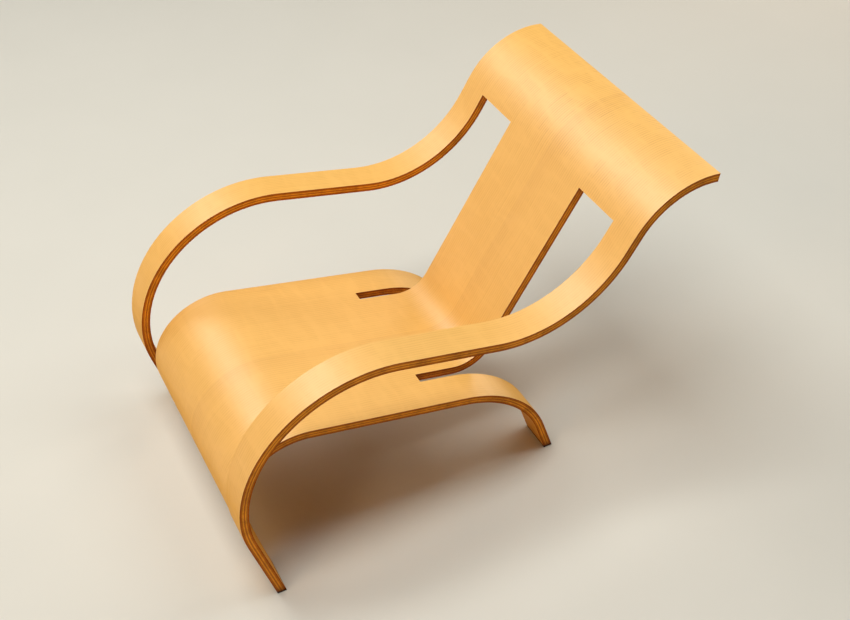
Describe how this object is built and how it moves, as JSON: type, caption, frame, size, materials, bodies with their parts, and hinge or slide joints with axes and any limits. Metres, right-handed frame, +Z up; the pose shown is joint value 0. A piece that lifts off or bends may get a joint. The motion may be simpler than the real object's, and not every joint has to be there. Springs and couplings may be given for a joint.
{
  "type": "lounge chair",
  "caption": "Low easy chair cut and bent from one laminated wooden sheet: open arms, sloping seat and back, rolled head, windows beside the back.",
  "frame": {"origin": "on the floor, in the middle of the chair's box", "axes": "+X to the sitter's left, +Y to the chair's rear, so that the chair faces -Y, +Z up"},
  "size_m": [0.6, 0.9387, 0.6738],
  "materials": {
    "birch_leaf": "satin varnish, grain along the sheet",
    "birch_crossband": "varnished end grain at the cut edge"
  },
  "bodies": {
    "root": {"face_leaf_left": "birch_leaf", "face_leaf_right": "birch_leaf", "inner_leaf_upper_left": "birch_leaf", "inner_leaf_upper_right": "birch_leaf", "inner_leaf_lower_left": "birch_leaf", "inner_leaf_lower_right": "birch_leaf", "back_leaf_left": "birch_leaf", "back_leaf_right": "birch_leaf", "crossband_upper": "birch_crossband", "crossband_middle": "birch_crossband", "crossband_lower": "birch_crossband"}
  },
  "joints": []
}
